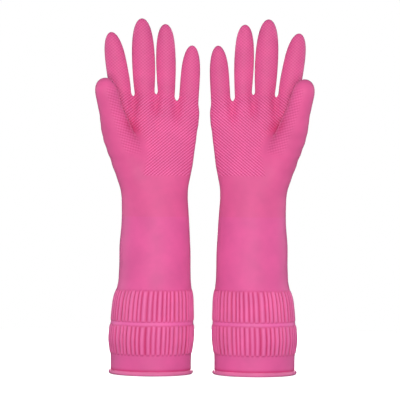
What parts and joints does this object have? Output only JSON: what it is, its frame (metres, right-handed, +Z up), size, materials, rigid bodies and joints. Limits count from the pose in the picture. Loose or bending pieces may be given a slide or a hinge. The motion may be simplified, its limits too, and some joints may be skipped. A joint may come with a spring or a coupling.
{
  "type": "rubber gloves",
  "caption": "Pair of long household rubber gloves with gripping palms, ribbed elastic cuffs and rolled beads; wrists, thumbs and fingers bend.",
  "frame": {"origin": "middle of the pair's footprint, on the surface that the beads stand on", "axes": "+Z up the gloves to the fingertips, +X towards the right-hand glove, palms facing -Y"},
  "size_m": [0.224, 0.0924, 0.38],
  "materials": {
    "plain_rubber": "smooth satin",
    "grip_rubber": "satin with a fine raised diamond grip",
    "ribbed_rubber": "satin, ribbed lengthways",
    "bead_rubber": "satin"
  },
  "bodies": {
    "left_sleeve": {"left_cuff_bead": "bead_rubber", "left_cuff_hem": "plain_rubber", "left_lower_rib_band": "ribbed_rubber", "left_rib_gap_strip": "plain_rubber", "left_upper_rib_band": "ribbed_rubber", "left_sleeve": "plain_rubber"},
    "left_palm": {"left_palm": "grip_rubber"},
    "left_thumb_base": {"left_thumb_base": "grip_rubber"},
    "left_thumb_tip": {"left_thumb_tip": "grip_rubber"},
    "left_index_base": {"left_index_base": "grip_rubber"},
    "left_index_middle": {"left_index_middle": "grip_rubber"},
    "left_index_tip": {"left_index_tip": "grip_rubber"},
    "left_middle_base": {"left_middle_base": "grip_rubber"},
    "left_middle_middle": {"left_middle_middle": "grip_rubber"},
    "left_middle_tip": {"left_middle_tip": "grip_rubber"},
    "left_ring_base": {"left_ring_base": "grip_rubber"},
    "left_ring_middle": {"left_ring_middle": "grip_rubber"},
    "left_ring_tip": {"left_ring_tip": "grip_rubber"},
    "left_little_base": {"left_little_base": "grip_rubber"},
    "left_little_middle": {"left_little_middle": "grip_rubber"},
    "left_little_tip": {"left_little_tip": "grip_rubber"},
    "right_sleeve": {"right_cuff_bead": "bead_rubber", "right_cuff_hem": "plain_rubber", "right_lower_rib_band": "ribbed_rubber", "right_rib_gap_strip": "plain_rubber", "right_upper_rib_band": "ribbed_rubber", "right_sleeve": "plain_rubber"},
    "right_palm": {"right_palm": "grip_rubber"},
    "right_thumb_base": {"right_thumb_base": "grip_rubber"},
    "right_thumb_tip": {"right_thumb_tip": "grip_rubber"},
    "right_index_base": {"right_index_base": "grip_rubber"},
    "right_index_middle": {"right_index_middle": "grip_rubber"},
    "right_index_tip": {"right_index_tip": "grip_rubber"},
    "right_middle_base": {"right_middle_base": "grip_rubber"},
    "right_middle_middle": {"right_middle_middle": "grip_rubber"},
    "right_middle_tip": {"right_middle_tip": "grip_rubber"},
    "right_ring_base": {"right_ring_base": "grip_rubber"},
    "right_ring_middle": {"right_ring_middle": "grip_rubber"},
    "right_ring_tip": {"right_ring_tip": "grip_rubber"},
    "right_little_base": {"right_little_base": "grip_rubber"},
    "right_little_middle": {"right_little_middle": "grip_rubber"},
    "right_little_tip": {"right_little_tip": "grip_rubber"}
  },
  "joints": [
    {"name": "right_glove_slide", "type": "slide", "parent": "left_sleeve", "child": "right_sleeve", "axis": [1, 0, 0], "range_m": [0, 0.25]},
    {"name": "left_wrist_bend", "type": "hinge", "parent": "left_sleeve", "child": "left_palm", "pos_m": [-0.0528, 0.0079, 0.194], "axis": [1, 0, 0], "range_deg": [-50, 60], "stiffness_Nm_per_rad": 0.15},
    {"name": "left_thumb_root_bend", "type": "hinge", "parent": "left_palm", "child": "left_thumb_base", "pos_m": [-0.0946, -0.0223, 0.2697], "axis": [-0.1705, -0.8782, -0.4469], "range_deg": [-45, 20], "stiffness_Nm_per_rad": 0.02},
    {"name": "left_thumb_end_bend", "type": "hinge", "parent": "left_thumb_base", "child": "left_thumb_tip", "pos_m": [-0.09933, -0.03083, 0.28826], "axis": [-0.1705, -0.8782, -0.4469], "range_deg": [-55, 10], "stiffness_Nm_per_rad": 0.01},
    {"name": "left_index_root_bend", "type": "hinge", "parent": "left_palm", "child": "left_index_base", "pos_m": [-0.09133, 0.0079, 0.30893], "axis": [0.9851, 0, 0.1719], "range_deg": [-15, 60], "stiffness_Nm_per_rad": 0.015},
    {"name": "left_index_middle_bend", "type": "hinge", "parent": "left_index_base", "child": "left_index_middle", "pos_m": [-0.09479, 0.00685, 0.32876], "axis": [0.9851, 0, 0.1719], "range_deg": [0, 70], "stiffness_Nm_per_rad": 0.01},
    {"name": "left_index_end_bend", "type": "hinge", "parent": "left_index_middle", "child": "left_index_tip", "pos_m": [-0.098, 0.00423, 0.34712], "axis": [0.9851, 0, 0.1719], "range_deg": [0, 42], "stiffness_Nm_per_rad": 0.005},
    {"name": "left_middle_root_bend", "type": "hinge", "parent": "left_palm", "child": "left_middle_base", "pos_m": [-0.06457, 0.0079, 0.31035], "axis": [0.9993, 0, 0.0384], "range_deg": [-15, 60], "stiffness_Nm_per_rad": 0.015},
    {"name": "left_middle_middle_bend", "type": "hinge", "parent": "left_middle_base", "child": "left_middle_middle", "pos_m": [-0.06552, 0.00661, 0.33502], "axis": [0.9993, 0, 0.0384], "range_deg": [0, 70], "stiffness_Nm_per_rad": 0.01},
    {"name": "left_middle_end_bend", "type": "hinge", "parent": "left_middle_middle", "child": "left_middle_tip", "pos_m": [-0.0664, 0.0034, 0.35785], "axis": [0.9993, 0, 0.0384], "range_deg": [0, 42], "stiffness_Nm_per_rad": 0.005},
    {"name": "left_ring_root_bend", "type": "hinge", "parent": "left_palm", "child": "left_ring_base", "pos_m": [-0.04127, 0.0079, 0.30767], "axis": [0.9997, 0, 0.0227], "range_deg": [-15, 60], "stiffness_Nm_per_rad": 0.015},
    {"name": "left_ring_middle_bend", "type": "hinge", "parent": "left_ring_base", "child": "left_ring_middle", "pos_m": [-0.04179, 0.00668, 0.33097], "axis": [0.9997, 0, 0.0227], "range_deg": [0, 70], "stiffness_Nm_per_rad": 0.01},
    {"name": "left_ring_end_bend", "type": "hinge", "parent": "left_ring_middle", "child": "left_ring_tip", "pos_m": [-0.04228, 0.00365, 0.35253], "axis": [0.9997, 0, 0.0227], "range_deg": [0, 42], "stiffness_Nm_per_rad": 0.005},
    {"name": "left_little_root_bend", "type": "hinge", "parent": "left_palm", "child": "left_little_base", "pos_m": [-0.01665, 0.0079, 0.30091], "axis": [0.9987, 0, -0.0506], "range_deg": [-15, 60], "stiffness_Nm_per_rad": 0.015},
    {"name": "left_little_middle_bend", "type": "hinge", "parent": "left_little_base", "child": "left_little_middle", "pos_m": [-0.01575, 0.00697, 0.31872], "axis": [0.9987, 0, -0.0506], "range_deg": [0, 70], "stiffness_Nm_per_rad": 0.01},
    {"name": "left_little_end_bend", "type": "hinge", "parent": "left_little_middle", "child": "left_little_tip", "pos_m": [-0.01491, 0.00465, 0.33519], "axis": [0.9987, 0, -0.0506], "range_deg": [0, 42], "stiffness_Nm_per_rad": 0.005},
    {"name": "right_wrist_bend", "type": "hinge", "parent": "right_sleeve", "child": "right_palm", "pos_m": [0.0528, 0.0079, 0.194], "axis": [1, 0, 0], "range_deg": [-50, 60], "stiffness_Nm_per_rad": 0.15},
    {"name": "right_thumb_root_bend", "type": "hinge", "parent": "right_palm", "child": "right_thumb_base", "pos_m": [0.0946, -0.0223, 0.2697], "axis": [-0.1705, 0.8782, 0.4469], "range_deg": [-45, 20], "stiffness_Nm_per_rad": 0.02},
    {"name": "right_thumb_end_bend", "type": "hinge", "parent": "right_thumb_base", "child": "right_thumb_tip", "pos_m": [0.09933, -0.03083, 0.28826], "axis": [-0.1705, 0.8782, 0.4469], "range_deg": [-55, 10], "stiffness_Nm_per_rad": 0.01},
    {"name": "right_index_root_bend", "type": "hinge", "parent": "right_palm", "child": "right_index_base", "pos_m": [0.09133, 0.0079, 0.30893], "axis": [0.9851, 0, -0.1719], "range_deg": [-15, 60], "stiffness_Nm_per_rad": 0.015},
    {"name": "right_index_middle_bend", "type": "hinge", "parent": "right_index_base", "child": "right_index_middle", "pos_m": [0.09479, 0.00685, 0.32876], "axis": [0.9851, 0, -0.1719], "range_deg": [0, 70], "stiffness_Nm_per_rad": 0.01},
    {"name": "right_index_end_bend", "type": "hinge", "parent": "right_index_middle", "child": "right_index_tip", "pos_m": [0.098, 0.00423, 0.34712], "axis": [0.9851, 0, -0.1719], "range_deg": [0, 42], "stiffness_Nm_per_rad": 0.005},
    {"name": "right_middle_root_bend", "type": "hinge", "parent": "right_palm", "child": "right_middle_base", "pos_m": [0.06457, 0.0079, 0.31035], "axis": [0.9993, 0, -0.0384], "range_deg": [-15, 60], "stiffness_Nm_per_rad": 0.015},
    {"name": "right_middle_middle_bend", "type": "hinge", "parent": "right_middle_base", "child": "right_middle_middle", "pos_m": [0.06552, 0.00661, 0.33502], "axis": [0.9993, 0, -0.0384], "range_deg": [0, 70], "stiffness_Nm_per_rad": 0.01},
    {"name": "right_middle_end_bend", "type": "hinge", "parent": "right_middle_middle", "child": "right_middle_tip", "pos_m": [0.0664, 0.0034, 0.35785], "axis": [0.9993, 0, -0.0384], "range_deg": [0, 42], "stiffness_Nm_per_rad": 0.005},
    {"name": "right_ring_root_bend", "type": "hinge", "parent": "right_palm", "child": "right_ring_base", "pos_m": [0.04127, 0.0079, 0.30767], "axis": [0.9997, 0, -0.0227], "range_deg": [-15, 60], "stiffness_Nm_per_rad": 0.015},
    {"name": "right_ring_middle_bend", "type": "hinge", "parent": "right_ring_base", "child": "right_ring_middle", "pos_m": [0.04179, 0.00668, 0.33097], "axis": [0.9997, 0, -0.0227], "range_deg": [0, 70], "stiffness_Nm_per_rad": 0.01},
    {"name": "right_ring_end_bend", "type": "hinge", "parent": "right_ring_middle", "child": "right_ring_tip", "pos_m": [0.04228, 0.00365, 0.35253], "axis": [0.9997, 0, -0.0227], "range_deg": [0, 42], "stiffness_Nm_per_rad": 0.005},
    {"name": "right_little_root_bend", "type": "hinge", "parent": "right_palm", "child": "right_little_base", "pos_m": [0.01665, 0.0079, 0.30091], "axis": [0.9987, 0, 0.0506], "range_deg": [-15, 60], "stiffness_Nm_per_rad": 0.015},
    {"name": "right_little_middle_bend", "type": "hinge", "parent": "right_little_base", "child": "right_little_middle", "pos_m": [0.01575, 0.00697, 0.31872], "axis": [0.9987, 0, 0.0506], "range_deg": [0, 70], "stiffness_Nm_per_rad": 0.01},
    {"name": "right_little_end_bend", "type": "hinge", "parent": "right_little_middle", "child": "right_little_tip", "pos_m": [0.01491, 0.00465, 0.33519], "axis": [0.9987, 0, 0.0506], "range_deg": [0, 42], "stiffness_Nm_per_rad": 0.005}
  ],
  "couplings": [
    {"joint": "left_index_end_bend", "follows": "left_index_middle_bend", "ratio": 0.6},
    {"joint": "left_middle_end_bend", "follows": "left_middle_middle_bend", "ratio": 0.6},
    {"joint": "left_ring_end_bend", "follows": "left_ring_middle_bend", "ratio": 0.6},
    {"joint": "left_little_end_bend", "follows": "left_little_middle_bend", "ratio": 0.6},
    {"joint": "right_index_end_bend", "follows": "right_index_middle_bend", "ratio": 0.6},
    {"joint": "right_middle_end_bend", "follows": "right_middle_middle_bend", "ratio": 0.6},
    {"joint": "right_ring_end_bend", "follows": "right_ring_middle_bend", "ratio": 0.6},
    {"joint": "right_little_end_bend", "follows": "right_little_middle_bend", "ratio": 0.6}
  ]
}
